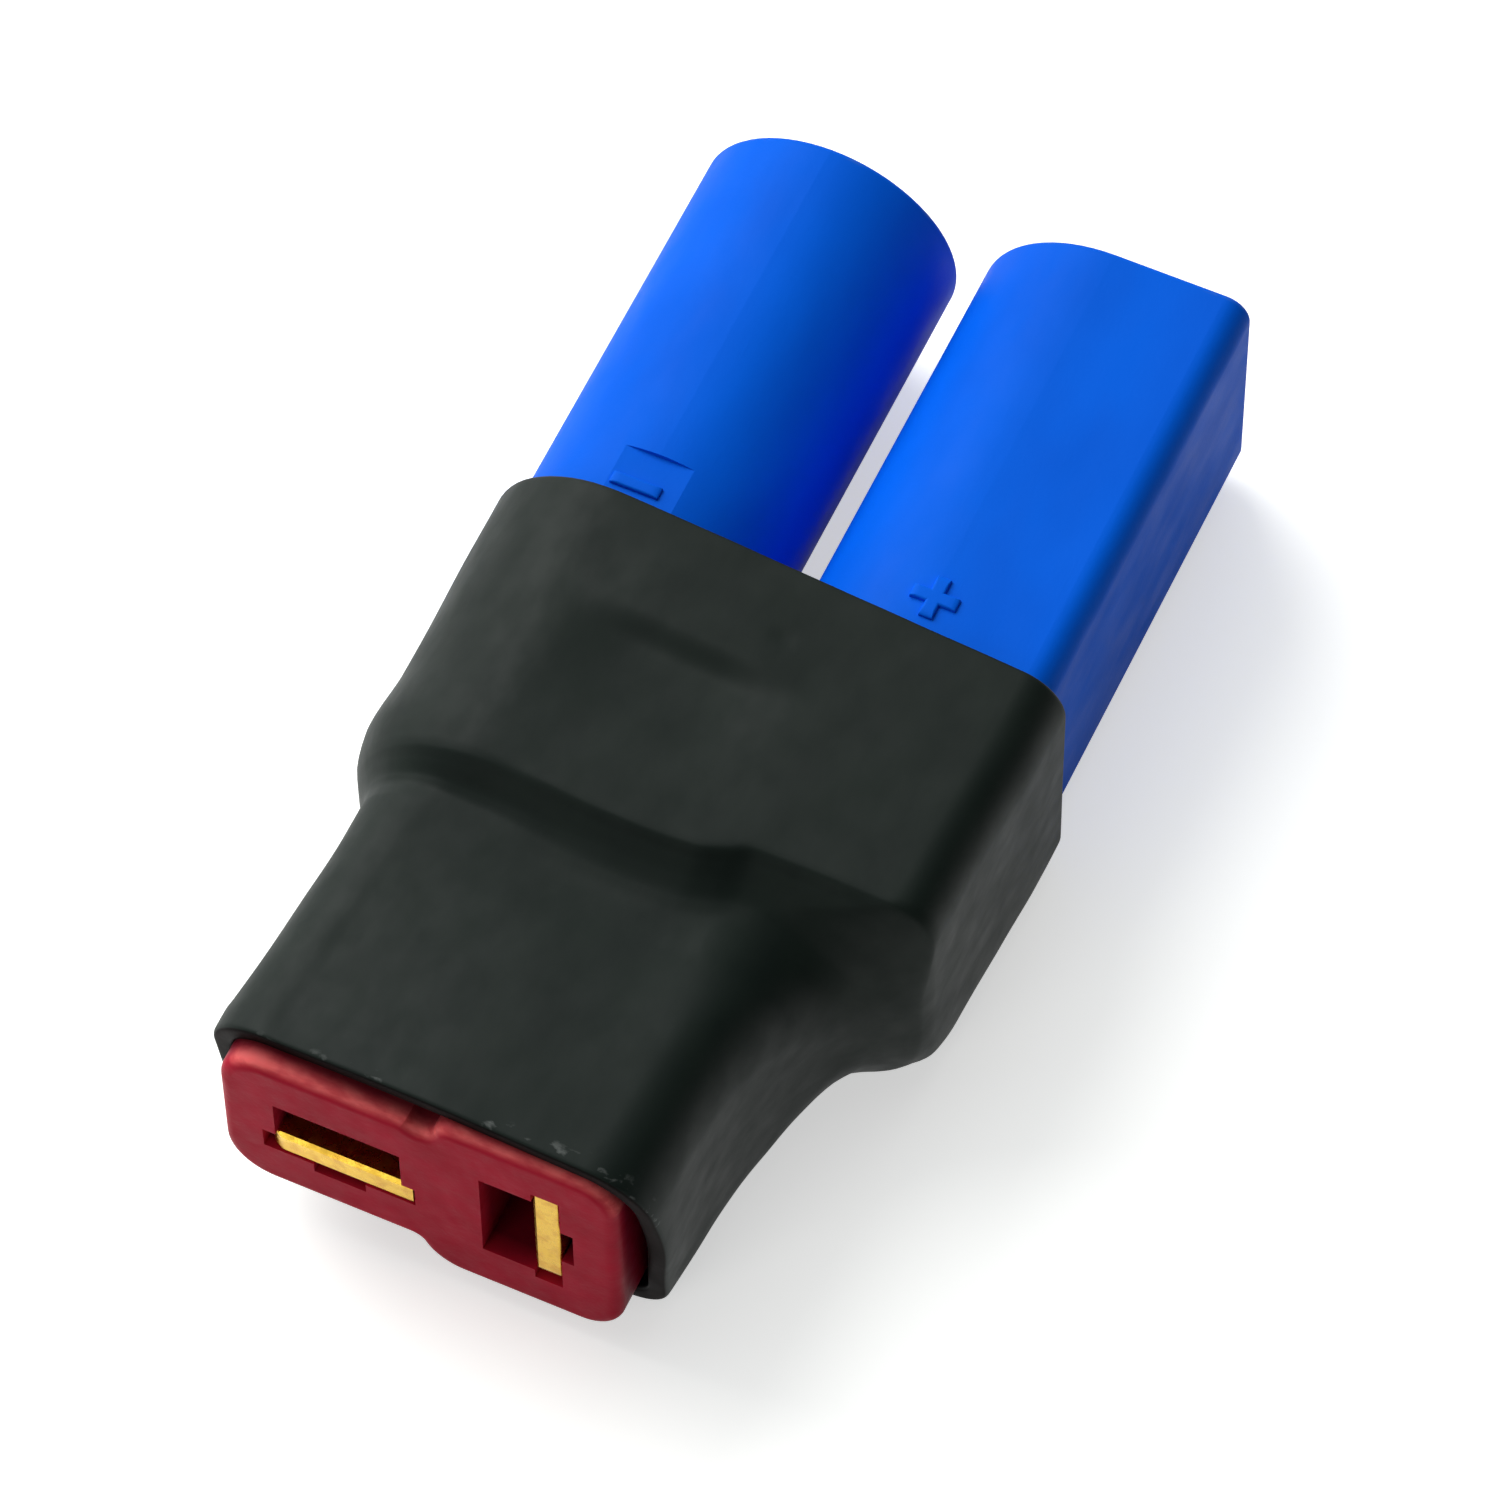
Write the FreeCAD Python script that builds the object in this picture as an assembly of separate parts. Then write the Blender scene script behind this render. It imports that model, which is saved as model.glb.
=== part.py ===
import FreeCAD, Part
import math
import os

# Battery connector adapter. A blue housing with two bullet sockets is soldered
# back to back to a red two-blade socket plug, and a shrunk sleeve covers the joint.
# All sizes are in millimetres. Sizes along X are counted from the plug's front face,
# and every solid is moved to the part's own frame when it is written.

# Barrel housing, blue
barrel_diameter = 10.65
barrel_pitch = 11.8
square_reach = 5.64
square_corner = 1.05
housing_length = 29.9
bridge_length = 9.6
barrel_edge_round = 0.25
rear_edge_round = 0.6
bridge_groove_width = 1.4
bridge_groove_length = 6.9
bridge_groove_depth = 0.7
bridge_groove_inset = 6.7
bridge_groove_place = 1.4
mark_flat_depth = 0.19
mark_flat_start = 10.0
mark_flat_length = 4.4

# Bullet sockets, turned and gold plated
socket_bore_diameter = 5.0
socket_wall = 0.6
socket_web = 1.4
socket_recess = 1.8
socket_lead_in = 0.3
collar_height = 0.55
collar_width = 1.6
neck_width = 1.0
cup_depth = 5.2
cup_inset = 5.9
cup_wall = 0.65
cup_hole_diameter = 1.4
socket_clearance = 0.05
mouth_lip = 0.35
mouth_flare = 0.7
latch_lip = 0.25
latch_lip_width = 0.6
rear_entry_flare = 0.5

# Plug housing, red
plug_width = 16.0
low_lobe_top = 4.35
low_lobe_bottom = 3.8
tall_lobe_top = 5.1
tall_lobe_bottom = 5.15
low_corner = 2.0
tall_corner = 1.6
notch_radius = 0.6
notch_depth = 0.3
notch_place = -0.1
notch_shoulder_radius = 0.8
step_radius = 0.4
step_place = 0.45
step_shoulder_radius = 1.9
plug_body_length = 11.6
plug_flange_length = 4.5
plug_waist = 0.4
plug_face_round = 0.5
plug_offset = 1.92

# Contacts of the plug and their slots
contact_width = 5.95
contact_thickness = 1.08
contact_setback = 0.05
contact_lead_in = 0.15
contact_corner = 0.12
contact_front_round = 0.8
contact_side_clearance = 0.1
contact_back_clearance = 0.04
passage_width = 5.1
passage_height = 2.09
passage_depth = 8.2
flat_slot_reach = 3.22
flat_slot_drop = 0.2
upright_slot_reach = 4.62
tab_width = 3.4
tab_length = 3.2
spring_width = 1.9
spring_thickness = 0.2
spring_setback = 1.5
spring_length = 6.2
spring_bow = 0.2
spring_pocket_clearance = 0.1

# Link wires and solder
wire_diameter = 2.6
wire_lap_start = 0.3
wire_bend_radius = 4.0
joint_gap = 3.4
tab_solder_coat = 0.3
tab_solder_film = 0.1
tab_solder_width = 2.4
cup_solder_rise = 0.5

# Outer sleeve, heat shrunk
sleeve_wall = 0.75
sleeve_housing_clearance = 0.05
sleeve_plug_clearance = 0.08
sleeve_front = 1.4
sleeve_front_skew = 0.035
sleeve_front_lean = 0.16
sleeve_knee_lead = 0.3
sleeve_cover = 11.6
sleeve_rear_skew = 0.061
sleeve_round_stub = 0.05
# Shares of the plug's waist, of the drape at the left wall and at the right wall, and of the rise in height,
# first over the plug and then through the drape
sleeve_over_plug = [
    (0.0, 0.0, 0.1, 0.0),
    (0.0, 0.0, 0.09, 0.0),
    (0.0, 0.0, 0.06, 0.0),
    (0.6, 0.0, 0.1, 0.0),
    (1.0, 0.0, 0.26, 0.0),
]
sleeve_drape = [
    (0.3, (1.0, 0.1, 0.36, 0.05)),
    (0.55, (0.6, 0.42, 0.5, 0.3)),
    (0.78, (0.2, 0.8, 0.74, 0.66)),
    (1.0, (0.0, 1.0, 1.0, 1.0)),
]

# Places worked out from the sizes above
barrel_radius = barrel_diameter / 2
round_axis_y = barrel_pitch / 2
square_axis_y = -barrel_pitch / 2
housing_rear_x = plug_body_length + joint_gap
overall_length = housing_rear_x + housing_length
bridge_end_x = housing_rear_x + bridge_length
sleeve_end_x = housing_rear_x + sleeve_cover
half_plug_width = plug_width / 2
axis_height = barrel_radius + sleeve_housing_clearance + sleeve_wall
middle_y = (barrel_radius - square_reach) / 2

socket_bore = socket_bore_diameter / 2
socket_radius = socket_bore + socket_wall
collar_radius = socket_radius + collar_height
cup_radius = socket_radius + 0.5 * collar_height
cup_bore = cup_radius - cup_wall
socket_front_x = overall_length - socket_recess
socket_rear_x = housing_rear_x + cup_inset
cup_floor_x = socket_rear_x + cup_depth
collar_rear_x = cup_floor_x + neck_width
collar_front_x = collar_rear_x + collar_width
socket_bore_depth = socket_front_x - collar_front_x - socket_web
socket_neck_radius = cup_radius - 0.35 * cup_wall
wire_radius = wire_diameter / 2
wire_lift = wire_radius + tab_solder_film
spring_pocket_depth = spring_thickness + spring_bow + spring_pocket_clearance
spring_pocket_end = spring_setback + spring_length + spring_pocket_clearance

# Room for boolean tools to run past a face
over = 1.0


def vec(x, y, z):
    return FreeCAD.Vector(x, y, z)


def box(x0, x1, y0, y1, z0, z1):
    return Part.makeBox(x1 - x0, y1 - y0, z1 - z0, vec(x0, y0, z0))


def rod(x0, x1, radius, y, z=0.0):
    return Part.makeCylinder(radius, x1 - x0, vec(x0, y, z), vec(1, 0, 0))


def turned(profile, y):
    """Solid turned about a barrel's axis from points (x, radius)."""
    points = [vec(x, 0, r) for x, r in profile]
    points.append(points[0])
    face = Part.Face(Part.makePolygon(points))
    solid = face.revolve(vec(0, 0, 0), vec(1, 0, 0), 360)
    solid.translate(vec(0, y, 0))
    return solid


def half_section(x, steps):
    """Edges over the top of a section at x, from the +Y wall to the -Y wall.

    Each step is (y, z) points: one point ends a line, and two points are an
    arc's middle and its end.
    """
    points = [[vec(x, y, z) for y, z in step] for step in steps]
    edges = []
    for before, step in zip(points, points[1:]):
        if len(step) == 1:
            edges.append(Part.makeLine(before[-1], step[0]))
        else:
            edges.append(Part.Arc(before[-1], step[0], step[1]).toShape())
    return edges


def section_wire(x, over_steps, under_steps):
    """Closed section at x: the steps over the top, and those of the underside as seen in a mirror."""
    under = [edge.mirror(vec(0, 0, 0), vec(0, 0, 1)) for edge in reversed(half_section(x, under_steps))]
    return Part.Wire(half_section(x, over_steps) + under)


def corner(y, z, radius, side):
    """Quarter-round step at a top corner; side is 1 at the +Y wall and -1 at the -Y wall."""
    bend = radius * (1 - math.cos(math.pi / 4))
    end = (y - radius, z) if side > 0 else (y, z - radius)
    return [(y - side * bend, z - bend), end]


def edges_at(shape, x):
    """Edges that lie in the plane at x."""
    found = []
    for edge in shape.Edges:
        spread = edge.BoundBox
        if abs(spread.XMin - x) < 1e-4 and abs(spread.XMax - x) < 1e-4:
            found.append(edge)
    return found


def square_barrel_wire(x):
    """Section of the square barrel: half round inside, small corners outside."""
    inner = square_axis_y + barrel_radius
    outer = square_axis_y - square_reach
    steps = [
        [(inner, 0)],
        corner(inner, barrel_radius, barrel_radius, 1),
        [(outer + square_corner, barrel_radius)],
        corner(outer, barrel_radius, square_corner, -1),
        [(outer, 0)],
    ]
    return section_wire(x, steps, steps)


def socket_cavity(y):
    """Room inside one barrel: mouth, contact seat, collar seat, latch lip and rear entry."""
    seat = socket_radius + socket_clearance
    collar_seat = collar_radius + socket_clearance
    mouth = socket_radius - mouth_lip
    lip = collar_radius - latch_lip
    rim_x = overall_length
    lip_front_x = collar_rear_x - socket_clearance
    lip_rear_x = lip_front_x - latch_lip_width
    seat_x = collar_front_x + socket_clearance
    profile = [
        (housing_rear_x - over, 0),
        (housing_rear_x - over, collar_seat + rear_entry_flare + over),
        (housing_rear_x + rear_entry_flare, collar_seat),
        (lip_rear_x - latch_lip, collar_seat),
        (lip_rear_x, lip),
        (lip_front_x, lip),
        (lip_front_x, collar_seat),
        (seat_x, collar_seat),
        (seat_x, seat),
        (socket_front_x + socket_clearance, seat),
        (socket_front_x + socket_clearance, mouth),
        (rim_x - mouth_flare, mouth),
        (rim_x + over, mouth + mouth_flare + over),
        (rim_x + over, 0),
    ]
    return turned(profile, y)


def barrel_housing():
    """Two free barrels on one bridge, moulded in one piece."""
    along = vec(housing_length, 0, 0)
    round_barrel = rod(housing_rear_x, overall_length, barrel_radius, round_axis_y)
    square_barrel = Part.Face(square_barrel_wire(housing_rear_x)).extrude(along)
    round_barrel = round_barrel.makeFillet(barrel_edge_round, edges_at(round_barrel, overall_length))
    square_barrel = square_barrel.makeFillet(barrel_edge_round, edges_at(square_barrel, overall_length))
    bridge = box(housing_rear_x, bridge_end_x, square_axis_y, round_axis_y, -barrel_radius, barrel_radius)
    body = round_barrel.fuse([square_barrel, bridge]).removeSplitter()
    body = body.makeFillet(rear_edge_round, edges_at(body, housing_rear_x))
    groove_x = housing_rear_x + bridge_groove_inset
    groove_y0 = bridge_groove_place - bridge_groove_length / 2
    groove_y1 = groove_y0 + bridge_groove_length
    for side in (1, -1):
        floor = barrel_radius - bridge_groove_depth
        low, high = sorted((side * floor, side * (barrel_radius + over)))
        groove = box(groove_x - bridge_groove_width / 2, groove_x + bridge_groove_width / 2,
                     groove_y0, groove_y1, low, high)
        body = body.cut(groove)
    flat_x = housing_rear_x + mark_flat_start
    flat_z = barrel_radius - mark_flat_depth
    body = body.cut(box(flat_x, flat_x + mark_flat_length, round_axis_y - barrel_radius,
                        round_axis_y + barrel_radius, flat_z, barrel_radius + over))
    for y in (round_axis_y, square_axis_y):
        body = body.cut(socket_cavity(y))
    return body


def bullet_socket(y):
    """Turned socket: bored tube, stop collar, neck and solder cup with a weep hole."""
    front = socket_front_x
    profile = [
        (front, socket_bore + socket_lead_in),
        (front, socket_radius - socket_lead_in / 2),
        (front - socket_lead_in / 2, socket_radius),
        (collar_front_x, socket_radius),
        (collar_front_x, collar_radius),
        (collar_rear_x, collar_radius),
        (collar_rear_x, socket_neck_radius),
        (cup_floor_x, socket_neck_radius),
        (cup_floor_x, cup_radius),
        (socket_rear_x, cup_radius),
        (socket_rear_x, cup_bore),
        (cup_floor_x, cup_bore),
        (cup_floor_x + cup_wall, 0),
        (front - socket_bore_depth - socket_bore / 2, 0),
        (front - socket_bore_depth, socket_bore),
        (front - socket_lead_in, socket_bore),
    ]
    solid = turned(profile, y)
    hole_x = cup_floor_x - cup_depth / 2
    hole = Part.makeCylinder(cup_hole_diameter / 2, cup_radius + over, vec(hole_x, y, 0), vec(0, 0, 1))
    return solid.cut(hole)


def lobe_change(low, tall, depth, place, hollow_radius, shoulder_radius):
    """Steps from the low lobe's flat to the tall lobe's: a hollow arc, then a shoulder arc tangent to it.

    The hollow dips by depth under the low lobe at place. Heights are counted away from the axis.
    """
    hollow_z = low - depth + hollow_radius
    shoulder_z = tall - shoulder_radius
    drop = hollow_z - shoulder_z
    reach = hollow_radius + shoulder_radius
    run = math.sqrt(reach ** 2 - drop ** 2)
    start_y = place + math.sqrt(hollow_radius ** 2 - (hollow_radius - depth) ** 2)
    start_angle = math.atan2(low - hollow_z, start_y - place)
    meeting_angle = math.atan2(-drop, -run)
    middle = (start_angle + meeting_angle) / 2
    shoulder_middle = (math.atan2(drop, run) + math.pi / 2) / 2
    share = hollow_radius / reach
    meeting = (place - run * share, hollow_z - drop * share)
    dip = (place + hollow_radius * math.cos(middle), hollow_z + hollow_radius * math.sin(middle))
    shoulder = (place - run + shoulder_radius * math.cos(shoulder_middle),
                shoulder_z + shoulder_radius * math.sin(shoulder_middle))
    return [[(start_y, low)], [dip, meeting], [shoulder, (place - run, tall)]]


def notch_steps(inset):
    """The plug's top: a small notch and a shoulder between the lobes."""
    return lobe_change(low_lobe_top - inset, tall_lobe_top - inset, notch_depth, notch_place, notch_radius,
                       notch_shoulder_radius)


def underside_steps(inset):
    """The plug's underside: one long step between the lobes."""
    return lobe_change(low_lobe_bottom - inset, tall_lobe_bottom - inset, 0, step_place, step_radius,
                       step_shoulder_radius)


def lobed_wire(x, inset):
    """Plug outline: a low lobe at +Y and a tall lobe at -Y, with no break between arcs."""
    half = half_plug_width - inset
    sides = []
    for change in (notch_steps(inset), underside_steps(inset)):
        low = change[0][0][1]
        tall = change[-1][-1][1]
        sides.append([
            [(half, 0)],
            [(half, low - low_corner)],
            corner(half, low, low_corner, 1),
            *change,
            [(tall_corner - half, tall)],
            corner(-half, tall, tall_corner, -1),
            [(-half, 0)],
        ])
    return section_wire(x, *sides)


def slot_frames():
    """The two contacts: centre of the contact face, its width direction and the way into the passage."""
    flat = (vec(0, flat_slot_reach, -flat_slot_drop), vec(0, 1, 0), vec(0, 0, 1))
    upright = (vec(0, -upright_slot_reach, 0), vec(0, 0, -1), vec(0, 1, 0))
    return {"flat": flat, "upright": upright}


def slot_box(name, x0, x1, u0, u1, v0, v1):
    """Box in a contact's own directions: u across its width, v from its face into the passage."""
    centre, across, inward = slot_frames()[name]
    a = centre + across * u0 + inward * v0
    b = centre + across * u1 + inward * v1
    shape = box(x0, x1, min(a.y, b.y), max(a.y, b.y), min(a.z, b.z), max(a.z, b.z))
    shape.translate(vec(0, plug_offset, 0))
    return shape


def plug_housing():
    """Red moulding: face flange, slimmer waist behind it, two stepped slots."""
    front = Part.Face(lobed_wire(0, 0)).extrude(vec(plug_flange_length, 0, 0)).removeSplitter()
    front = front.makeFillet(plug_face_round, edges_at(front, 0))
    waist = Part.Face(lobed_wire(plug_flange_length, plug_waist)).extrude(
        vec(plug_body_length - plug_flange_length, 0, 0))
    body = front.fuse(waist).removeSplitter()
    body.translate(vec(0, plug_offset, 0))
    half_passage = passage_width / 2
    half_channel = contact_width / 2 + contact_side_clearance
    back = -contact_thickness - contact_back_clearance
    half_pocket = spring_width / 2 + spring_pocket_clearance
    for name in ("flat", "upright"):
        passage = slot_box(name, -over, passage_depth, -half_passage, half_passage, -contact_back_clearance,
                           passage_height)
        channel = slot_box(name, -over, plug_body_length + over, -half_channel, half_channel, back, 0)
        pocket_floor = back - spring_pocket_depth
        pocket = slot_box(name, -over, spring_pocket_end, -half_pocket, half_pocket, pocket_floor,
                          back + contact_back_clearance)
        body = body.cut(passage.fuse([channel, pocket]))
    return body


def blade_contact(name):
    """Flat gold bar with one rounded front corner, a lead-in on its front edge and a narrower solder tab."""
    centre, across, inward = slot_frames()[name]
    half = contact_width / 2
    bar = slot_box(name, contact_setback, plug_body_length, -half, half, -contact_thickness, 0)
    middle = centre + vec(0, plug_offset, 0)
    nose = [edge for edge in edges_at(bar, contact_setback)
            if (edge.CenterOfMass - middle).dot(across) > half - contact_corner]
    bar = bar.makeFillet(contact_front_round, nose)
    long_edges = [edge for edge in bar.Edges if edge.BoundBox.XLength > contact_width]
    bar = bar.makeFillet(contact_corner, long_edges)
    tab = slot_box(name, plug_body_length, plug_body_length + tab_length, -tab_width / 2, tab_width / 2,
                   -contact_thickness, 0)
    start = vec(contact_setback, 0, 0) + middle
    lead = Part.Face(Part.makePolygon([
        start + across * -half,
        start + across * -half + vec(contact_lead_in, 0, 0),
        start + across * -half - inward * contact_lead_in,
        start + across * -half,
    ])).extrude(across * contact_width)
    return bar.fuse(tab).cut(lead)


def leaf_spring(name):
    """Bowed leaf between a contact's back and the floor of its pocket."""
    half = spring_width / 2
    start_x = spring_setback
    end_x = start_x + spring_length
    mid_x = (start_x + end_x) / 2
    crown = -contact_thickness - contact_back_clearance
    centre, across, inward = slot_frames()[name]
    base = centre + vec(0, plug_offset, 0) + across * -half

    def point(x, v):
        return base + vec(x, 0, 0) + inward * v

    ends = crown - spring_bow
    under = ends - spring_thickness
    outer = Part.Arc(point(start_x, ends), point(mid_x, crown), point(end_x, ends)).toShape()
    belly = point(mid_x, crown - spring_thickness)
    inner = Part.Arc(point(end_x, under), belly, point(start_x, under)).toShape()
    wire = Part.Wire([
        outer,
        Part.makeLine(point(end_x, ends), point(end_x, under)),
        inner,
        Part.makeLine(point(start_x, under), point(start_x, ends)),
    ])
    return Part.Face(wire).extrude(across * spring_width)


def wire_route(name):
    """Corner points of a link wire: along the tab, across, and into the cup on the barrel's axis."""
    centre, across, inward = slot_frames()[name]
    if name == "flat":
        side = inward * wire_lift
        cup_y = round_axis_y
    else:
        side = inward * (-contact_thickness - wire_lift)
        cup_y = square_axis_y
    lap = centre + vec(0, plug_offset, 0) + side
    tab_start = plug_body_length + wire_lap_start
    tab_end = plug_body_length + tab_length
    return [
        vec(tab_start, lap.y, lap.z),
        vec(tab_end + wire_radius, lap.y, lap.z),
        vec(socket_rear_x - wire_diameter / 2, cup_y, 0),
        vec(cup_floor_x - cup_wall, cup_y, 0),
    ]


def link_wire(name):
    """Short stub of wire: straight runs joined by tangent arcs."""
    points = wire_route(name)
    edges = []
    last = points[0]
    for before, corner, after in zip(points, points[1:], points[2:]):
        way_in = (corner - before).normalize()
        way_out = (after - corner).normalize()
        turn = way_in.getAngle(way_out)
        reach = wire_bend_radius * math.tan(turn / 2)
        start = corner - way_in * reach
        end = corner + way_out * reach
        inside = (way_out - way_in).normalize()
        middle = corner + inside * (wire_bend_radius / math.cos(turn / 2) - wire_bend_radius)
        edges.append(Part.makeLine(last, start))
        edges.append(Part.Arc(start, middle, end).toShape())
        last = end
    edges.append(Part.makeLine(last, points[-1]))
    path = Part.Wire(edges)
    section = Part.Wire(Part.makeCircle(wire_radius, points[0], vec(1, 0, 0)))
    return path.makePipeShell([section], True, True)


def tab_solder(name):
    """Fillet of solder that beds the wire on the tab."""
    points = wire_route(name)
    lap = points[0]
    x0 = lap.x
    x1 = plug_body_length + tab_length - wire_lap_start
    coat = rod(x0, x1, wire_radius + tab_solder_coat, lap.y, lap.z)
    half = tab_solder_width / 2
    if name == "flat":
        bed = slot_box(name, x0, x1, -half, half, 0, wire_lift)
    else:
        bed = slot_box(name, x0, x1, -half, half, -contact_thickness - wire_lift, -contact_thickness)
    tab = slot_box(name, x0 - over, x1 + over, -plug_width, plug_width, -contact_thickness, 0)
    return coat.fuse(bed).cut(tab).cut(link_wire(name))


def cup_solder(name):
    """Solder that fills the cup round the wire, with a rounded rise at the mouth."""
    y = round_axis_y if name == "flat" else square_axis_y
    profile = [
        (cup_floor_x + cup_wall, 0),
        (cup_floor_x, cup_bore),
        (socket_rear_x, cup_bore),
        (socket_rear_x - cup_solder_rise, wire_radius + tab_solder_coat),
        (socket_rear_x - cup_solder_rise, 0),
    ]
    return turned(profile, y).cut(link_wire(name))


def sleeve_wire(x, sizes):
    """Section of a sleeve skin at x, flat over the tall lobe and sloping to the left corner."""
    left, right = sizes["left"], sizes["right"]
    sides = []
    for change, side in ((notch_steps(0), "top"), (underside_steps(0), "low")):
        height_left, height_right = sizes[side + "_left"], sizes[side + "_right"]
        knee_y = change[-1][-1][0] + sleeve_knee_lead
        sides.append([
            [(left, 0)],
            [(left, height_left - sizes["corner_left"])],
            corner(left, height_left, sizes["corner_left"], 1),
            [(plug_offset + knee_y, height_right)],
            [(right + sizes["corner_right"], height_right)],
            corner(right, height_right, sizes["corner_right"], -1),
            [(right, 0)],
        ])
    return section_wire(x, *sides)


def sleeve_sections(inset):
    """Sections of the sleeve's outer skin, or of its inner skin when inset is the wall.

    Over the plug it follows the two lobes, over the housing the barrels, and
    between them it sags from the plug's back to the housing's rear edge.
    """
    plug_grow = sleeve_plug_clearance + sleeve_wall - inset
    house_grow = sleeve_housing_clearance + sleeve_wall - inset
    narrow = {
        "left": plug_offset + half_plug_width + plug_grow,
        "right": plug_offset - half_plug_width - plug_grow,
        "top_left": low_lobe_top + plug_grow,
        "top_right": tall_lobe_top + plug_grow,
        "low_left": low_lobe_bottom + plug_grow,
        "low_right": tall_lobe_bottom + plug_grow,
        "corner_left": low_corner + plug_grow,
        "corner_right": tall_corner + plug_grow,
    }
    wide = {
        "left": round_axis_y + barrel_radius + house_grow,
        "right": square_axis_y - square_reach - house_grow,
        "corner_left": barrel_radius + house_grow - sleeve_round_stub,
        "corner_right": square_corner + house_grow,
    }
    heights = ("top_left", "top_right", "low_left", "low_right")
    for key in heights:
        wide[key] = barrel_radius + house_grow
    drape = housing_rear_x - plug_body_length
    middle_x = (plug_flange_length + plug_body_length) / 2
    over_plug = (-over, sleeve_front, plug_flange_length, middle_x, plug_body_length)
    stations = list(zip(over_plug, sleeve_over_plug))
    stations += [(plug_body_length + drape * along, shares) for along, shares in sleeve_drape]
    behind = ((housing_rear_x + sleeve_end_x) / 2, sleeve_end_x + over)
    stations += [(x, sleeve_drape[-1][1]) for x in behind]
    wires = []
    for x, (waist, left_share, right_share, height_share) in stations:
        shares = {"left": left_share, "right": right_share}
        sizes = {}
        for key in narrow:
            sizes[key] = narrow[key] + (wide[key] - narrow[key]) * shares.get(key, height_share)
        sizes["left"] -= plug_waist * waist
        for key in heights:
            sizes[key] -= plug_waist * waist * (1 - height_share)
        wires.append(sleeve_wire(x, sizes))
    return wires


def sleeve_body(inset):
    """Solid inside one skin of the sleeve: close on the plug, draped, then straight over the barrels."""
    sections = sleeve_sections(inset)
    drape_start = len(sleeve_over_plug) - 1
    drape_end = drape_start + len(sleeve_drape)
    plug_part = Part.makeLoft(sections[:drape_start + 1], True, False)
    drape_part = Part.makeLoft(sections[drape_start:drape_end + 1], True, False)
    house_part = Part.makeLoft(sections[drape_end:], True, True)
    return plug_part.fuse([drape_part, house_part])


def askew_cutter(x, skew, lean, side):
    """Block beyond a sleeve mouth, turned a little about Z and about Y; side is -1 in front and 1 behind."""
    reach = 2 * plug_width
    low = -reach if side < 0 else 0
    block = Part.makeBox(reach, 2 * reach, 2 * reach, vec(low, -reach, -reach))
    block.rotate(vec(0, 0, 0), vec(0, 1, 0), -math.degrees(math.atan(lean)))
    block.rotate(vec(0, 0, 0), vec(0, 0, 1), -math.degrees(math.atan(skew)))
    block.translate(vec(x, 0, 0))
    return block


def outer_sleeve():
    """One shrunk tube, cut a little askew at both mouths."""
    tube = sleeve_body(0.0).cut(sleeve_body(sleeve_wall))
    front_x = sleeve_front - sleeve_front_skew * plug_offset
    front = askew_cutter(front_x, sleeve_front_skew, sleeve_front_lean, -1)
    rear = askew_cutter(sleeve_end_x, sleeve_rear_skew, 0, 1)
    return tube.cut(front).cut(rear)


def write(name, shape):
    """Moves a solid into the part's frame and writes it."""
    placed = shape.copy()
    placed.translate(vec(-overall_length / 2, -middle_y, axis_height))
    solids = placed.Solids
    result = solids[0] if len(solids) == 1 else Part.makeCompound(solids)
    result.exportStep("parts/" + name + ".step")
    print(name, len(solids), "solid, valid", placed.isValid(), "volume %.2f" % placed.Volume)


os.makedirs("parts", exist_ok=True)
write("barrel_housing", barrel_housing())
write("negative_socket", bullet_socket(round_axis_y))
write("positive_socket", bullet_socket(square_axis_y))
write("plug_housing", plug_housing())
write("flat_contact", blade_contact("flat"))
write("upright_contact", blade_contact("upright"))
write("flat_contact_spring", leaf_spring("flat"))
write("upright_contact_spring", leaf_spring("upright"))
write("negative_link_wire", link_wire("flat"))
write("positive_link_wire", link_wire("upright"))
write("negative_tab_solder", tab_solder("flat"))
write("positive_tab_solder", tab_solder("upright"))
write("negative_cup_solder", cup_solder("flat"))
write("positive_cup_solder", cup_solder("upright"))
write("outer_sleeve", outer_sleeve())
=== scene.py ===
import math

import bpy
import numpy as np
from mathutils import Matrix, Vector


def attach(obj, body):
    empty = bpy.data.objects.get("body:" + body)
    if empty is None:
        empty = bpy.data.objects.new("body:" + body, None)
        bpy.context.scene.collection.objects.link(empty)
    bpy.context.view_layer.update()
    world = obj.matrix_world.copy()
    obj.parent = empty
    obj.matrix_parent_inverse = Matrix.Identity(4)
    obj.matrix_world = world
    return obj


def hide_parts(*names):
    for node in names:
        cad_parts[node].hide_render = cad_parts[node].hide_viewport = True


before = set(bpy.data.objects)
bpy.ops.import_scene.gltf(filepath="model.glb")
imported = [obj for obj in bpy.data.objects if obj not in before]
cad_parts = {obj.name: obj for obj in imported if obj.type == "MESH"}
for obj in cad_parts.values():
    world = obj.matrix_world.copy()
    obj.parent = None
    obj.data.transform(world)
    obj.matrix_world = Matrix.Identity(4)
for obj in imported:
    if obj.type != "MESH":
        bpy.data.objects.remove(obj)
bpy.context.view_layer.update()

mm = 0.001  # the shapes below are worked out in millimetres, in the CAD part's own frame
plugFaceX = -22.45  # x of the red plug's face; tables along x count from there
axisZ = 6.125  # height of the two barrels' axes and of the plug's middle

print("frame loaded,", len(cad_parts), "CAD nodes")


# Camera

view = {
    "place": (-159.594, -77.461, 290.323),
    "yaw": 0.44788,  # radians, as pitch and roll are
    "pitch": 1.01493,
    "roll": -0.01711,
    "focalPixels": 8969.93,
    "framePixels": 1500,
    "sensor": 36.0,
    "near": 0.01,  # metres, as far is
    "far": 10,
}


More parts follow.
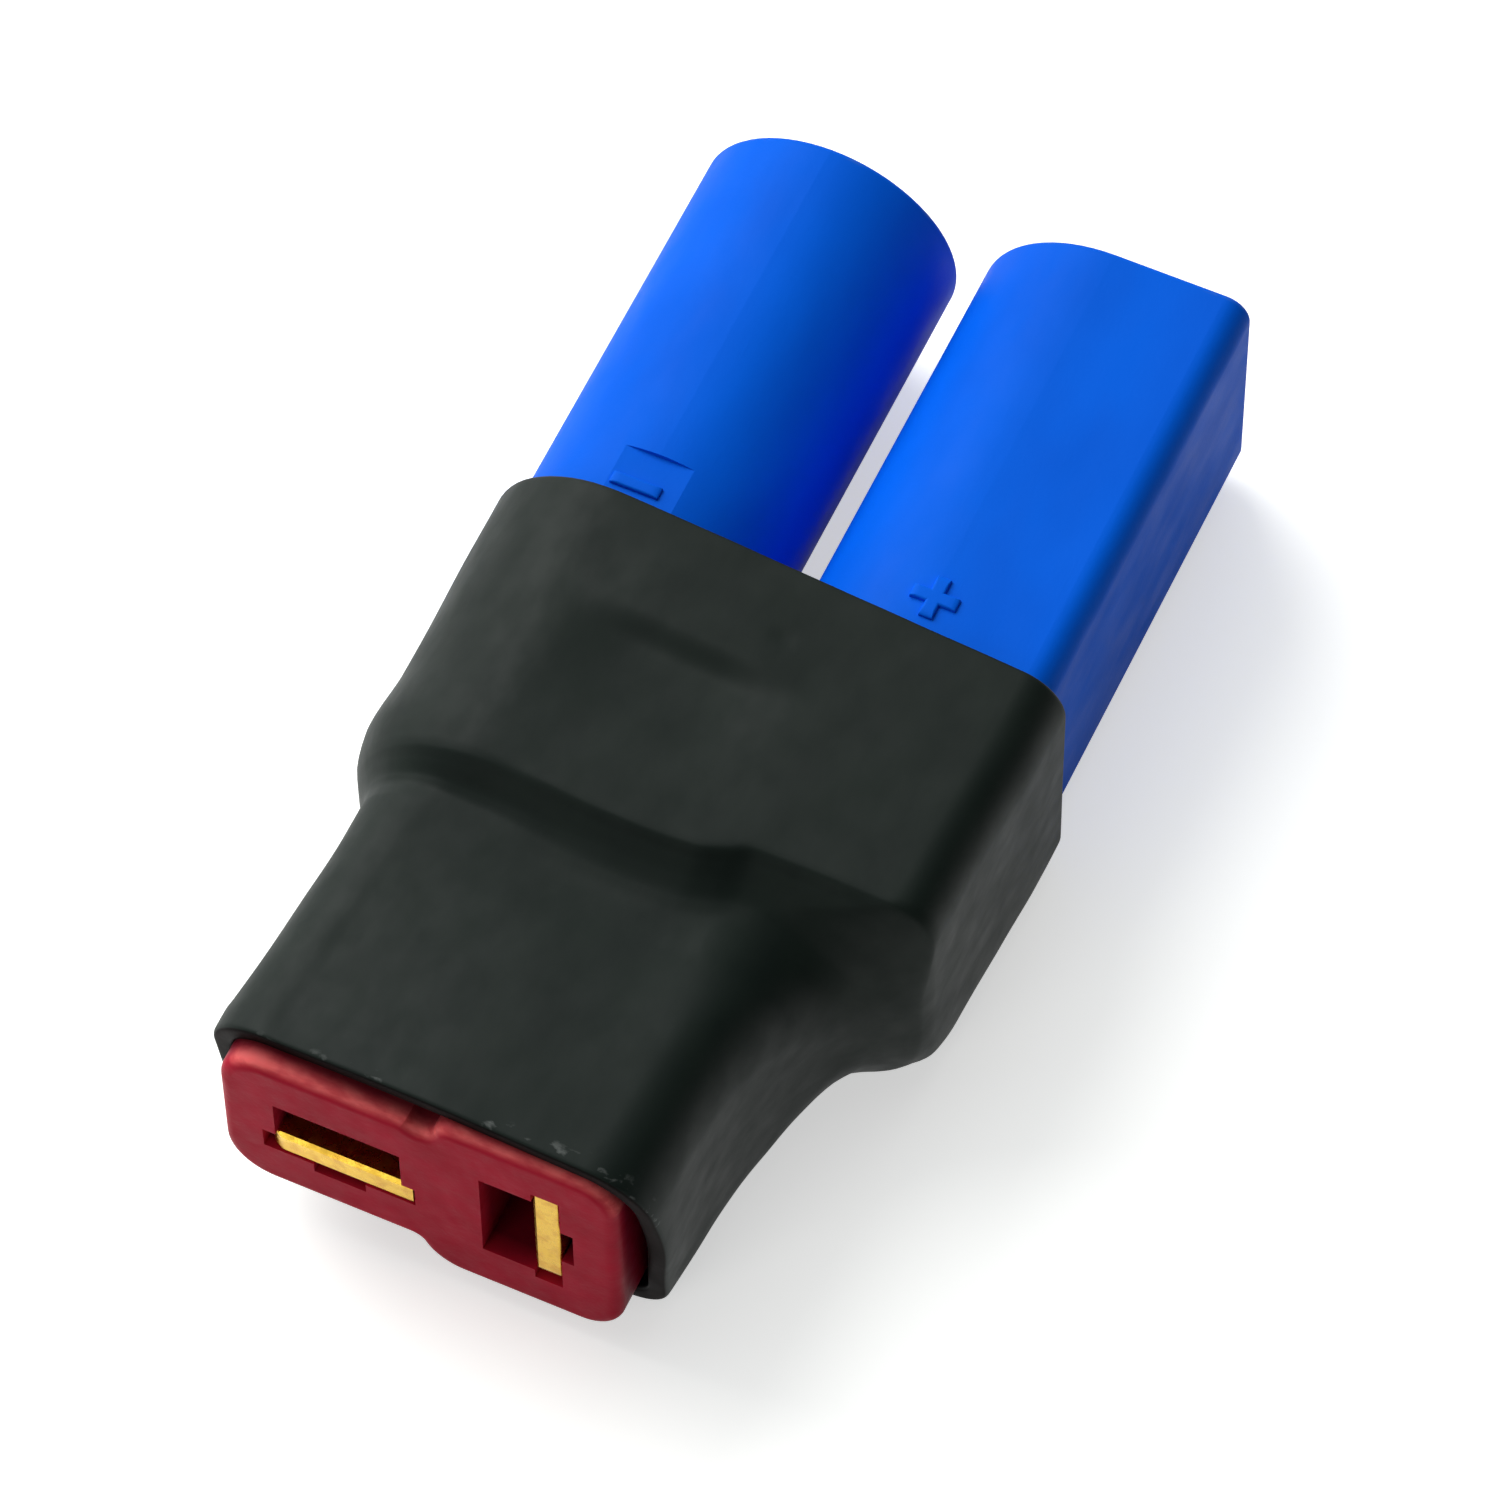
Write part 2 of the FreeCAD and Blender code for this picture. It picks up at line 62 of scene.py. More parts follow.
def placeCamera():
    # Looks along yaw about Z and then pitch down, with a slight roll about the line of sight
    yaw, pitch, roll = view["yaw"], view["pitch"], view["roll"]
    ahead = Vector((math.cos(yaw) * math.cos(pitch), math.sin(yaw) * math.cos(pitch), -math.sin(pitch)))
    level = ahead.cross(Vector((0, 0, 1))).normalized()
    above = level.cross(ahead)
    right = math.cos(roll) * level + math.sin(roll) * above
    up = math.cos(roll) * above - math.sin(roll) * level
    lens = bpy.data.cameras.new("photoCamera")
    lens.sensor_width = view["sensor"]
    lens.lens = view["focalPixels"] / view["framePixels"] * view["sensor"]
    lens.clip_start = view["near"]
    lens.clip_end = view["far"]
    camera = bpy.data.objects.new("photoCamera", lens)
    turn = Matrix((right, up, -ahead)).transposed().to_4x4()
    camera.matrix_world = Matrix.Translation(Vector(view["place"]) * mm) @ turn
    bpy.context.scene.collection.objects.link(camera)
    bpy.context.scene.camera = camera


# Materials: every pattern reads Object coordinates, in metres

def blobs(sizes, detail=3, offset=0.0, between=(0.3, 0.7)):
    # A noise pattern: how large its blobs are along x, y and z in millimetres, its detail, where
    # it is cut from, and the part of its range that is put to use
    return {"sizes": sizes, "detail": detail, "offset": offset, "between": between}


def startMaterial(name, sockets):
    # The constant values sit on the shader's own sockets
    material = bpy.data.materials.new(name)
    material.use_nodes = True
    tree = material.node_tree
    shader = tree.nodes["Principled BSDF"]
    for label, value in sockets.items():
        shader.inputs[label].default_value = value
    where = tree.nodes.new("ShaderNodeTexCoord")
    return material, tree, shader, where.outputs["Object"]


def grain(tree, place, pattern):
    # Noise over the place, counted in blobs along each axis and shifted by the pattern's offset
    mapping = tree.nodes.new("ShaderNodeMapping")
    offset = pattern["offset"]
    mapping.inputs["Scale"].default_value = [1 / (size * mm) for size in pattern["sizes"]]
    mapping.inputs["Location"].default_value = (offset, offset * 0.7, offset * 1.3)
    tree.links.new(place, mapping.inputs["Vector"])
    noise = tree.nodes.new("ShaderNodeTexNoise")
    noise.inputs["Scale"].default_value = 1.0
    noise.inputs["Detail"].default_value = pattern["detail"]
    tree.links.new(mapping.outputs["Vector"], noise.inputs["Vector"])
    return noise.outputs["Fac"]


def remap(tree, value, low, high, fromLow, fromHigh):
    # Stretches fromLow to fromHigh over low to high, and holds the ends beyond
    node = tree.nodes.new("ShaderNodeMapRange")
    node.inputs["From Min"].default_value = fromLow
    node.inputs["From Max"].default_value = fromHigh
    node.inputs["To Min"].default_value = low
    node.inputs["To Max"].default_value = high
    tree.links.new(value, node.inputs["Value"])
    return node.outputs["Result"]


def spread(tree, place, pattern, low=0.0, high=1.0):
    # The pattern's noise, stretched to the range low to high
    return remap(tree, grain(tree, place, pattern), low, high, *pattern["between"])


def along(tree, vector, axis):
    # One coordinate of a vector
    node = tree.nodes.new("ShaderNodeSeparateXYZ")
    tree.links.new(vector, node.inputs["Vector"])
    return node.outputs[axis]


def fade(tree, place, axis, ends, low=0.0, high=1.0):
    # Goes from low to high between two places along one axis, given in millimetres
    return remap(tree, along(tree, place, axis), low, high, ends[0] * mm, ends[1] * mm)


def combine(tree, operation, first, second):
    # Adds or multiplies two shares, and holds the result between 0 and 1
    node = tree.nodes.new("ShaderNodeMath")
    node.operation = operation
    node.use_clamp = True
    tree.links.new(first, node.inputs[0])
    tree.links.new(second, node.inputs[1])
    return node.outputs["Value"]


def mixColour(tree, share, first, second):
    # Each colour is a tuple or another node's output; a Mix node's colours are inputs 6 and 7
    # and output 2
    node = tree.nodes.new("ShaderNodeMix")
    node.data_type = "RGBA"
    tree.links.new(share, node.inputs["Factor"])
    for slot, colour in ((6, first), (7, second)):
        if isinstance(colour, tuple):
            node.inputs[slot].default_value = (*colour, 1)
        else:
            tree.links.new(colour, node.inputs[slot])
    return node.outputs[2]


def setShader(tree, shader, label, value):
    tree.links.new(value, shader.inputs[label])


def bumps(tree, shader, layers):
    # Each layer is (height, depth in millimetres at full strength)
    last = None
    for height, depth in layers:
        node = tree.nodes.new("ShaderNodeBump")
        node.inputs["Strength"].default_value = 1.0
        node.inputs["Distance"].default_value = depth * mm
        tree.links.new(height, node.inputs["Height"])
        if last is not None:
            tree.links.new(last, node.inputs["Normal"])
        last = node.outputs["Normal"]
    setShader(tree, shader, "Normal", last)


bluePlastic = {
    "colour": (0.0, 0.126, 0.81),
    "deepColour": (0.0, 0.110, 0.73),
    "scuffColour": (0.05, 0.15, 0.50),
    "sheen": 0.05,  # specular level
    "index": 1.46,
    "rough": (0.48, 0.60),
    "rimX": (22.15, 22.4),  # the barrels' end rims, where the scuffs are
    "clouds": blobs((6, 3, 3), 2),
    "scuffs": blobs((0.8, 1.3, 1.3), 4, 3.1, (0.56, 0.66)),
    "haze": blobs((2.5, 1.2, 1.2), 3, 1.7),
    "tooling": blobs((0.16, 0.12, 0.12), 3, 5.0),
    "scratches": blobs((3.0, 0.07, 0.07), 2, 9.0, (0.66, 0.72)),
    "toolingDepth": 0.006,
    "scratchDepth": 0.0015,
}


def makeBluePlastic():
    # Moulded plastic: faint cloudiness, fine tooling texture, light scratches and a scuffed rim
    blue = bluePlastic
    sockets = {"Specular IOR Level": blue["sheen"], "IOR": blue["index"]}
    material, tree, shader, place = startMaterial("bluePlastic", sockets)
    colour = mixColour(tree, spread(tree, place, blue["clouds"]), blue["colour"], blue["deepColour"])
    scuffs = combine(tree, "MULTIPLY", fade(tree, place, "X", blue["rimX"]),
                     spread(tree, place, blue["scuffs"]))
    setShader(tree, shader, "Base Color", mixColour(tree, scuffs, colour, blue["scuffColour"]))
    setShader(tree, shader, "Roughness", spread(tree, place, blue["haze"], *blue["rough"]))
    bumps(tree, shader, [
        (grain(tree, place, blue["tooling"]), blue["toolingDepth"]),
        (spread(tree, place, blue["scratches"]), blue["scratchDepth"]),
    ])
    return material


redPlastic = {
    "colour": (0.48, 0.013, 0.038),
    "deepColour": (0.38, 0.008, 0.026),
    # the pale pink of the top bevel: a painted highlight, with some wear
    "wornColour": (0.95, 0.19, 0.18),
    # the dark red of the painted shade
    "paintedShadeColour": (0.15, 0.002, 0.014),
    "sheen": 0.04,
    "index": 1.5,
    "rough": (0.36, 0.52),
    "glow": 0.18,  # share of the light that goes in and comes out again, and how far
    "glowMm": 0.9,
    "glowColour": (1.0, 0.12, 0.1),
    "highlightWearX": (-22.42, -22.27),  # behind the face and high up, the top bevel is painted pale: a painted highlight, broken by wear
    "highlightWearZ": (9.6, 10.0),
    "highlightWearMost": 0.75,
    "highlightWearLeast": 0.5,
    "innerX": (-22.18, -21.58),  # painted shade: the red is painted dark behind the bevel, under the sleeve's mouth, and inside the slots
    "paintedShadeMost": 0.85,
    "clouds": blobs((1.6, 2.4, 1.8), 4),
    "wear": blobs((0.5, 1.1, 0.35), 4, 5.5, (0.38, 0.6)),
    "haze": blobs((0.8, 0.8, 0.8), 3, 2.2),
    "flow": blobs((0.9, 0.7, 0.7), 3, 4.4),
    "grit": blobs((0.13, 0.13, 0.13), 2, 7.7),
    "flowDepth": 0.03,
    "gritDepth": 0.006,
}


def makeRedPlastic():
    # Nylon that lets a little light in: granular face, painted highlight with wear on the upper bevel,
    # painted shade behind it
    red = redPlastic
    material, tree, shader, place = startMaterial("redPlastic", {
        "Specular IOR Level": red["sheen"],
        "IOR": red["index"],
        "Subsurface Weight": red["glow"],
        "Subsurface Scale": red["glowMm"] * mm,
        "Subsurface Radius": red["glowColour"],
    })
    colour = mixColour(tree, spread(tree, place, red["clouds"]), red["colour"], red["deepColour"])
    # painted highlight with wear: the top bevel behind the face turns pale pink in patches
    bevel = combine(tree, "MULTIPLY", fade(tree, place, "X", red["highlightWearX"], 0, red["highlightWearMost"]),
                    fade(tree, place, "Z", red["highlightWearZ"]))
    highlightAndWear = combine(tree, "MULTIPLY", bevel, spread(tree, place, red["wear"], red["highlightWearLeast"], 1))
    colour = mixColour(tree, highlightAndWear, colour, red["wornColour"])
    # painted shade: darker red deeper in, where the sleeve's mouth and the slots shade the plug
    paintedShade = fade(tree, place, "X", red["innerX"], 0, red["paintedShadeMost"])
    setShader(tree, shader, "Base Color", mixColour(tree, paintedShade, colour, red["paintedShadeColour"]))
    setShader(tree, shader, "Roughness", spread(tree, place, red["haze"], *red["rough"]))
    bumps(tree, shader, [
        (grain(tree, place, red["flow"]), red["flowDepth"]),
        (grain(tree, place, red["grit"]), red["gritDepth"]),
    ])
    return material


blackSleeving = {
    "colour": (0.004, 0.009, 0.007),
    "paleColour": (0.006, 0.012, 0.009),
    "scuffColour": (0.10, 0.11, 0.105),
    # painted shade: the mouth's cut face is painted dark maroon, with little sheen
    "cutShadeColour": (0.004, 0.002, 0.002),
    "sheen": 0.17,
    "cutShadeSheen": 0.03,
    "index": 1.5,
    "rough": (0.50, 0.60),
    "scuffX": (-21.7, -21.35),  # scuffs lie in front of here
    "scuffMost": 0.8,
    "cutX": (-20.1, -19.8),  # and the mouth's cut face in front of here
    "cutFacing": (-0.9, -0.6),  # it faces forwards: x of its normal
    "clouds": blobs((3.5, 2.0, 2.0), 4),
    "scuffs": blobs((0.5, 0.9, 0.4), 4, 4.7, (0.60, 0.68)),
    "haze": blobs((1.6, 1.1, 1.1), 3, 6.1),
    "drawn": blobs((5.0, 0.5, 0.5), 2, 8.3),
    "skin": blobs((0.35, 0.25, 0.25), 3, 1.2),
    "drawnDepth": 0.002,
    "skinDepth": 0.003,
}


def makeBlackSleeving():
    # Shrunk polyolefin: soft sheen, faint mottling, drawn-out lines, a few scuffs at the mouth,
    # and painted shade on the cut face there, dark maroon with little sheen
    black = blackSleeving
    material, tree, shader, place = startMaterial("blackSleeving", {"IOR": black["index"]})
    colour = mixColour(tree, spread(tree, place, black["clouds"]), black["colour"], black["paleColour"])
    scuffs = combine(tree, "MULTIPLY", fade(tree, place, "X", black["scuffX"], 1, 0),
                     spread(tree, place, black["scuffs"], 0, black["scuffMost"]))
    colour = mixColour(tree, scuffs, colour, black["scuffColour"])
    # painted shade on the forward-facing cut face at the mouth: dark maroon and little sheen
    normal = tree.nodes.new("ShaderNodeTexCoord").outputs["Normal"]
    cut = combine(tree, "MULTIPLY", remap(tree, along(tree, normal, "X"), 1, 0, *black["cutFacing"]),
                  fade(tree, place, "X", black["cutX"], 1, 0))
    setShader(tree, shader, "Base Color", mixColour(tree, cut, colour, black["cutShadeColour"]))
    setShader(tree, shader, "Specular IOR Level", remap(tree, cut, black["sheen"], black["cutShadeSheen"], 0, 1))
    setShader(tree, shader, "Roughness", spread(tree, place, black["haze"], *black["rough"]))
    bumps(tree, shader, [
        (grain(tree, place, black["drawn"]), black["drawnDepth"]),
        (grain(tree, place, black["skin"]), black["skinDepth"]),
    ])
    return material


goldPlate = {
    "colour": (0.72, 0.46, 0.055),
    "wornColour": (0.60, 0.34, 0.04),
    "rough": (0.20, 0.36),
    "wear": blobs((0.9, 0.6, 0.6), 4, 2.0, (0.45, 0.65)),
    "haze": blobs((0.5, 0.5, 0.5), 3, 4.0),
    "lines": blobs((2.5, 0.09, 0.09), 3, 6.0),
    "pits": blobs((0.18, 0.18, 0.18), 2, 8.0),
    "lineDepth": 0.008,
    "pitDepth": 0.006,
}


def makeGoldPlate():
    # Thin plate over brass: stamping lines show through, with duller patches
    gold = goldPlate
    material, tree, shader, place = startMaterial("goldPlate", {"Metallic": 1.0})
    colour = mixColour(tree, spread(tree, place, gold["wear"]), gold["colour"], gold["wornColour"])
    setShader(tree, shader, "Base Color", colour)
    setShader(tree, shader, "Roughness", spread(tree, place, gold["haze"], *gold["rough"]))
    bumps(tree, shader, [
        (grain(tree, place, gold["lines"]), gold["lineDepth"]),
        (grain(tree, place, gold["pits"]), gold["pitDepth"]),
    ])
    return material


bareMetals = {
    "springSteel": {
        "colour": (0.56, 0.57, 0.60),
        "dullColour": (0.38, 0.38, 0.40),
        "rough": (0.24, 0.38),
        "streaks": blobs((2.0, 0.08, 0.2), 4, 3.0),
    },
    "tinnedWire": {
        "colour": (0.72, 0.66, 0.58),
        "dullColour": (0.55, 0.42, 0.32),
        "rough": (0.3, 0.5),
        "streaks": blobs((3.0, 0.3, 0.3), 4, 3.0),
    },
    "solderMetal": {
        "colour": (0.66, 0.67, 0.69),
        "dullColour": (0.42, 0.43, 0.45),
        "rough": (0.25, 0.5),
        "streaks": blobs((0.7, 0.7, 0.7), 4, 3.0),
    },
}
streakDepth = 0.01


def makeBareMetal(name):
    # Plain metal, with streaks or cloudy patches that are duller and rougher
    metal = bareMetals[name]
    material, tree, shader, place = startMaterial(name, {"Metallic": 1.0})
    streaks = spread(tree, place, metal["streaks"])
    setShader(tree, shader, "Base Color", mixColour(tree, streaks, metal["colour"], metal["dullColour"]))
    setShader(tree, shader, "Roughness", spread(tree, place, metal["streaks"], *metal["rough"]))
    bumps(tree, shader, [(grain(tree, place, metal["streaks"]), streakDepth)])
    return material


# Surfaces on a grid

def followTable(table, x):
    # A smooth line through (x, value) points that never overshoots: cubic pieces whose
    # slopes are the harmonic mean of the runs on both sides, and level at a turn
    places, values = np.array(table, float).T
    step = np.diff(places)
    rise = np.diff(values) / step
    slope = np.zeros_like(values)
    same = rise[:-1] * rise[1:] > 0
    before = np.where(same, rise[:-1], 1.0)
    after = np.where(same, rise[1:], 1.0)
    weightOne = 2 * step[1:] + step[:-1]
    weightTwo = step[1:] + 2 * step[:-1]
    mean = (weightOne + weightTwo) / (weightOne / before + weightTwo / after)
    slope[1:-1] = np.where(same, mean, 0.0)
    slope[0], slope[-1] = rise[0], rise[-1]
    piece = np.clip(np.searchsorted(places, x) - 1, 0, len(step) - 1)
    u = np.clip((x - places[piece]) / step[piece], 0, 1)
    line = (1 + 2 * u) * (1 - u) ** 2 * values[piece] + u * u * (3 - 2 * u) * values[piece + 1]
    bend = u * (1 - u) ** 2 * slope[piece] + u * u * (u - 1) * slope[piece + 1]
    return line + step[piece] * bend


def ease(value, low, high):
    # 0 below low, 1 above high, and between them a cubic that is level at both ends
    u = np.clip((value - low) / (high - low), 0, 1)
    return u * u * (3 - 2 * u)


def bell(distance, width):
    # e to the power of minus the squared distance, counted in widths: 1 in the middle and nearly
    # nothing at twice the width
    return np.exp(-(distance / width) ** 2)


def meshFromGrid(name, points, material, wrapRows=False, poles=False):
    # points is rows x columns x 3 in millimetres. Columns always close on themselves; rows close
    # too when wrapRows is set, or end in a single point each when poles is set. The faces are
    # turned round where the volume they enclose comes out negative.
    rows, columns = points.shape[:2]
    flat = points.reshape(-1, 3)
    row = np.arange(rows if wrapRows else rows - 1)[:, None]
    column = np.arange(columns)[None, :]
    nextRow, nextColumn = (row + 1) % rows, (column + 1) % columns
    quads = np.stack([row * columns + column, nextRow * columns + column,
                      nextRow * columns + nextColumn, row * columns + nextColumn], -1).reshape(-1, 4)
    faces = quads.tolist()
    if poles:
        flat = np.vstack([flat, points[[0, -1]].mean(1)])
        ring = np.arange(columns)
        nextRing = (ring + 1) % columns
        top = (rows - 1) * columns
        first = np.stack([np.full(columns, len(flat) - 2), ring, nextRing], -1)
        last = np.stack([np.full(columns, len(flat) - 1), top + nextRing, top + ring], -1)
        faces += first.tolist() + last.tolist()
    a, b, c, d = (flat[quads[:, corner]] for corner in range(4))
    volume = (np.cross(a, b) * c).sum() + (np.cross(a, c) * d).sum()
    if volume < 0:
        faces = [face[::-1] for face in faces]
    mesh = bpy.data.meshes.new(name)
    mesh.from_pydata((flat * mm).tolist(), [], faces)
    mesh.polygons.foreach_set("use_smooth", [True] * len(mesh.polygons))
    mesh.materials.append(material)
    piece = bpy.data.objects.new(name, mesh)
    bpy.context.scene.collection.objects.link(piece)
    return piece


# The shrunk sleeve

sleeve = {
    # Tables are (x from the plug's face, value). The wall shrank thickest at the mouth.
    "wall": [(0, 0.82), (2.5, 0.82), (7, 0.68), (12, 0.66), (18, 0.66), (20, 0.62), (28, 0.62)],
    # where the left and the right wall stand
    "left": [(1, 10.9), (2.4, 10.92), (3, 10.85), (4.7, 10.7), (7.6, 10.52), (11.1, 10.4), (12.5, 10.42),
             (13.1, 10.62), (14.1, 11.35), (15, 11.85), (16.3, 12.1), (18.5, 11.95), (22, 12.0),
             (25, 12.06), (28, 12.1)],
    "right": [(1, -6.9), (2.7, -7.08), (4, -7.2), (5.4, -7.3), (7.1, -7.5), (8.9, -7.88), (10.5, -8.35),
              (12.1, -9.2), (13, -10.05), (13.6, -10.95), (14.1, -11.6), (14.8, -11.8), (17, -11.86),
              (21, -11.98), (24, -12.12), (28, -12.12)],
    # how far the top and the underside stand from the axis, over the low lobe and the tall lobe
    "topLeft": [(0, 5.2), (4, 5.08), (8, 4.92), (11.6, 4.8), (12.9, 4.82), (13.35, 5.0), (13.9, 5.55),
                (14.3, 5.92), (14.7, 6.03), (15.4, 6.07), (17.5, 6.04), (20, 5.96), (28, 5.96)],
    "topRight": [(0, 5.94), (4, 5.82), (8, 5.47), (10, 5.18), (11.5, 4.93), (12.4, 4.84), (13.1, 4.94),
                 (13.8, 5.24), (14.4, 5.66), (14.85, 6.04), (15.1, 6.07), (17.5, 6.04), (20, 5.96),
                 (28, 5.96)],
    "lowLeft": [(0, 4.65), (8, 4.6), (12, 4.7), (13, 5.2), (14, 5.9), (15, 6.04), (28, 6.07)],
    "lowRight": [(0, 5.98), (6, 5.9), (12, 5.8), (14, 5.95), (15.5, 6.06), (28, 6.07)],
    # the radii of the four corners, and what a radius loses for each millimetre inwards
    "cornerLeft": [(1, 2.75), (10, 2.9), (12.4, 3.1), (13.2, 3.8), (14.2, 5.4), (15, 5.85), (17, 5.97),
                   (28, 6.0)],
    "cornerRight": [(1, 2.4), (6, 2.5), (8.5, 2.9), (10, 3.5), (11, 4.2), (12, 4.7), (13, 4.9), (13.7, 4.8),
                    (14.15, 3.8), (14.5, 2.7), (14.8, 2.0), (15.3, 1.8), (28, 1.8)],
    "cornerLowLeft": [(1, 2.75), (10, 2.9), (12.4, 3.2), (13.6, 4.2), (15, 5.2), (17, 5.95), (28, 6.0)],
    "cornerLowRight": [(1, 2.0), (8.5, 2.2), (10.5, 2.7), (12.3, 3.8), (13.5, 4.6), (14.4, 4.0),
                       (15.2, 2.9), (17, 2.1), (28, 1.8)],
    "cornerLoss": 0.8,
    "leastWall": 0.02,  # the height that a corner leaves to its side wall at least
    # (y, how far back the step up to the wide part sits there), from the right wall to the left
    "drape": [(-13, 0.1), (-10.8, 0.12), (-9.4, 0.25), (-6.4, 0.38), (-4.7, 0.42), (-3.6, 0.05),
              (-2.5, -0.25), (-0.6, -0.3), (1.6, -0.2), (3.6, 0.0), (5.5, 0.2), (9.5, 0.35), (13, 0.35)],
    "drapeRight": 0.35,
    "kneeY": -0.2,  # from here to the right, the height is the tall lobe's
    "plugY": 2.08,
    # the cut ends: their x, how they skew across and lean, and how far that reaches along x
    "frontX": 1.4,
    "rearX": 26.6,
    "frontSkew": 0.035,
    "frontLean": 0.16,
    "frontReach": 6,
    "rearSkew": 0.061,
    "rearReach": 7,
    "cutEdge": 0.5,
    # how many points run round a corner, across the flats and up half a side wall
    "acrossSteps": {"corner": 18, "flat": 56, "wall": 10},
    # and how many run along the plug, the shoulder, the barrels, the inside and a cut rim
    "alongSteps": {"plug": 60, "shoulder": 110, "barrels": 80, "inside": 90, "rim": 20},
    "shoulder": (11, 17),
}

# Dents and bulges of its skin: places and widths in millimetres, x from the plug's face and z
# from the axis, and pairs are where a form sets in and where it is full
relief = {
    "crease": {"x": 21.7, "y": 1.55, "halfLong": 3.3, "fade": 1.9, "wide": 0.72, "long": 3.2, "deep": 0.22,
               "sunk": 0.36, "skew": 0.054},
    "sag": {"x": 13.1, "y": -7.0, "longX": 1.0, "longY": 2.4, "deep": 0.35, "z": (0.5, 4)},
    "dimple": {"x": 23.6, "y": -1.74, "wide": 0.4, "deep": 0.05},
    "mouthBulge": {"x": 1, "z": 1.0, "high": 3.4, "long": 2.4, "out": 0.5, "y": (-6.6, -4.5)},
    "unevenness": {"height": 0.012, "from": (2.5, 6), "slow": (0.9, 0.4, 0.6), "cross": (-0.35, 0.7, 0),
                   "quick": (1.3, 1.9, -0.8), "quickShare": 0.5},
}


def sleeveHalf(x, inset, heights, corners):
    # One row for each x, from the middle of the left wall over the shoulder and across to the
    # middle of the right wall, as y, z and the outward direction: a straight wall, a quarter
    # circle, the flat, a quarter circle and a straight wall. The height at y goes from the left
    # lobe's to the right lobe's, and each lobe steps up to the wide part where the drape puts it.
    left = (followTable(sleeve["left"], x) - inset)[:, None]
    right = (followTable(sleeve["right"], x) + inset)[:, None]
    highLeft, highRight = [(followTable(sleeve[name], x) - inset)[:, None] for name in heights]
    cornerLeft, cornerRight = [(followTable(sleeve[name], x) - sleeve["cornerLoss"] * inset)[:, None]
                               for name in corners]
    cornerLeft = np.minimum(cornerLeft, highLeft - sleeve["leastWall"])
    cornerRight = np.minimum(cornerRight, highRight - sleeve["leastWall"])
    one = np.ones_like(left)
    steps = sleeve["acrossSteps"]
    turn = np.linspace(0, math.pi / 2, steps["corner"], endpoint=False)[None, :]
    flat = np.linspace(0, 1, steps["flat"], endpoint=False)[None, :]
    wall = np.linspace(0, 1, steps["wall"], endpoint=False)[None, :]
    flatLeft, flatRight = left - cornerLeft, right + cornerRight
    y = flatLeft + (flatRight - flatLeft) * flat
    share = np.clip((flatLeft - y) / (flatLeft - sleeve["kneeY"]), 0, 1)
    share = share * (1.5 - 0.5 * share * share)  # leaves the left lobe at a slope, arrives level
    back = followTable(sleeve["drape"], y) - followTable(sleeve["drape"], flatLeft) * (1 - flat)
    back = back - (followTable(sleeve["drape"], flatRight) - sleeve["drapeRight"]) * flat
    z = (1 - share) * followTable(sleeve[heights[0]], x[:, None] - back)
    z = z + share * followTable(sleeve[heights[1]], x[:, None] - back + sleeve["drapeRight"]) - inset[:, None]
    parts = [
        (left + 0 * wall, wall * (highLeft - cornerLeft), one + 0 * wall, 0 * one * wall),
        (flatLeft + cornerLeft * np.cos(turn), highLeft - cornerLeft + cornerLeft * np.sin(turn),
         one * np.cos(turn), one * np.sin(turn)),
        (y, z, 0 * y, 1 + 0 * y),
        (flatRight - cornerRight * np.sin(turn), highRight - cornerRight + cornerRight * np.cos(turn),
         -one * np.sin(turn), one * np.cos(turn)),
        (right + 0 * wall, (1 - wall) * (highRight - cornerRight), -one + 0 * wall, 0 * one * wall),
    ]
    return [np.concatenate(column, 1) for column in zip(*parts)]


def sleeveSection(x, inset):
    # The upper half and then the lower half, walked back to the left wall. Returns y, z and the
    # outward direction in the section.
    upper = sleeveHalf(x, inset, ("topLeft", "topRight"), ("cornerLeft", "cornerRight"))
    lower = sleeveHalf(x, inset, ("lowLeft", "lowRight"), ("cornerLowLeft", "cornerLowRight"))
    rightY = (followTable(sleeve["right"], x) + inset)[:, None]
    one = np.ones_like(rightY)
    rightWall = (rightY, 0 * one, -one, 0 * one)
    signs = (1, -1, 1, -1)
    return [np.concatenate([over, middle, sign * under[:, :0:-1]], 1)
            for over, middle, under, sign in zip(upper, rightWall, lower, signs)]


def reliefOut(x, y, z, skin):
    # Millimetres outwards, with skin 1 outside and 0 inside: the crease over the housing's slot,
    # which steps up as a quarter wave each way and dies out as a bell on both sides, the sag behind
    # the plug's tall lobe, a small dimple, the bulge where the mouth stands off the plug, and a slow
    # unevenness made of crossed waves
    crease, sag, dimple = relief["crease"], relief["sag"], relief["dimple"]
    bulge, uneven = relief["mouthBulge"], relief["unevenness"]
    upper = z > 0
    past = x - crease["x"] - crease["skew"] * (y - crease["y"])
    rise = np.sin(math.pi / 2 * np.clip(past / crease["wide"], -1, 1)) - crease["sunk"]
    reach = ease(crease["halfLong"] + crease["fade"] - np.abs(y - crease["y"]), 0, 2 * crease["fade"])
    out = crease["deep"] * rise * bell(np.maximum(np.abs(past) - crease["wide"], 0), crease["long"])
    out = out * reach * upper * skin
    out = out - (sag["deep"] * bell(x - sag["x"], sag["longX"]) * bell(y - sag["y"], sag["longY"])
                 * ease(z, *sag["z"]))
    out = out - (dimple["deep"] * bell(x - dimple["x"], dimple["wide"])
                 * bell(y - dimple["y"], dimple["wide"]) * upper)
    out = out + (bulge["out"] * bell(z - bulge["z"], bulge["high"]) * bell(x - bulge["x"], bulge["long"])
                 * (1 - ease(y, *bulge["y"])))
    slow, cross, quick = [way[0] * x + way[1] * y + way[2] * z
                          for way in (uneven["slow"], uneven["cross"], uneven["quick"])]
    waves = np.sin(slow) * np.cos(cross) + uneven["quickShare"] * np.sin(quick)
    return out + uneven["height"] * waves * ease(x, *uneven["from"])


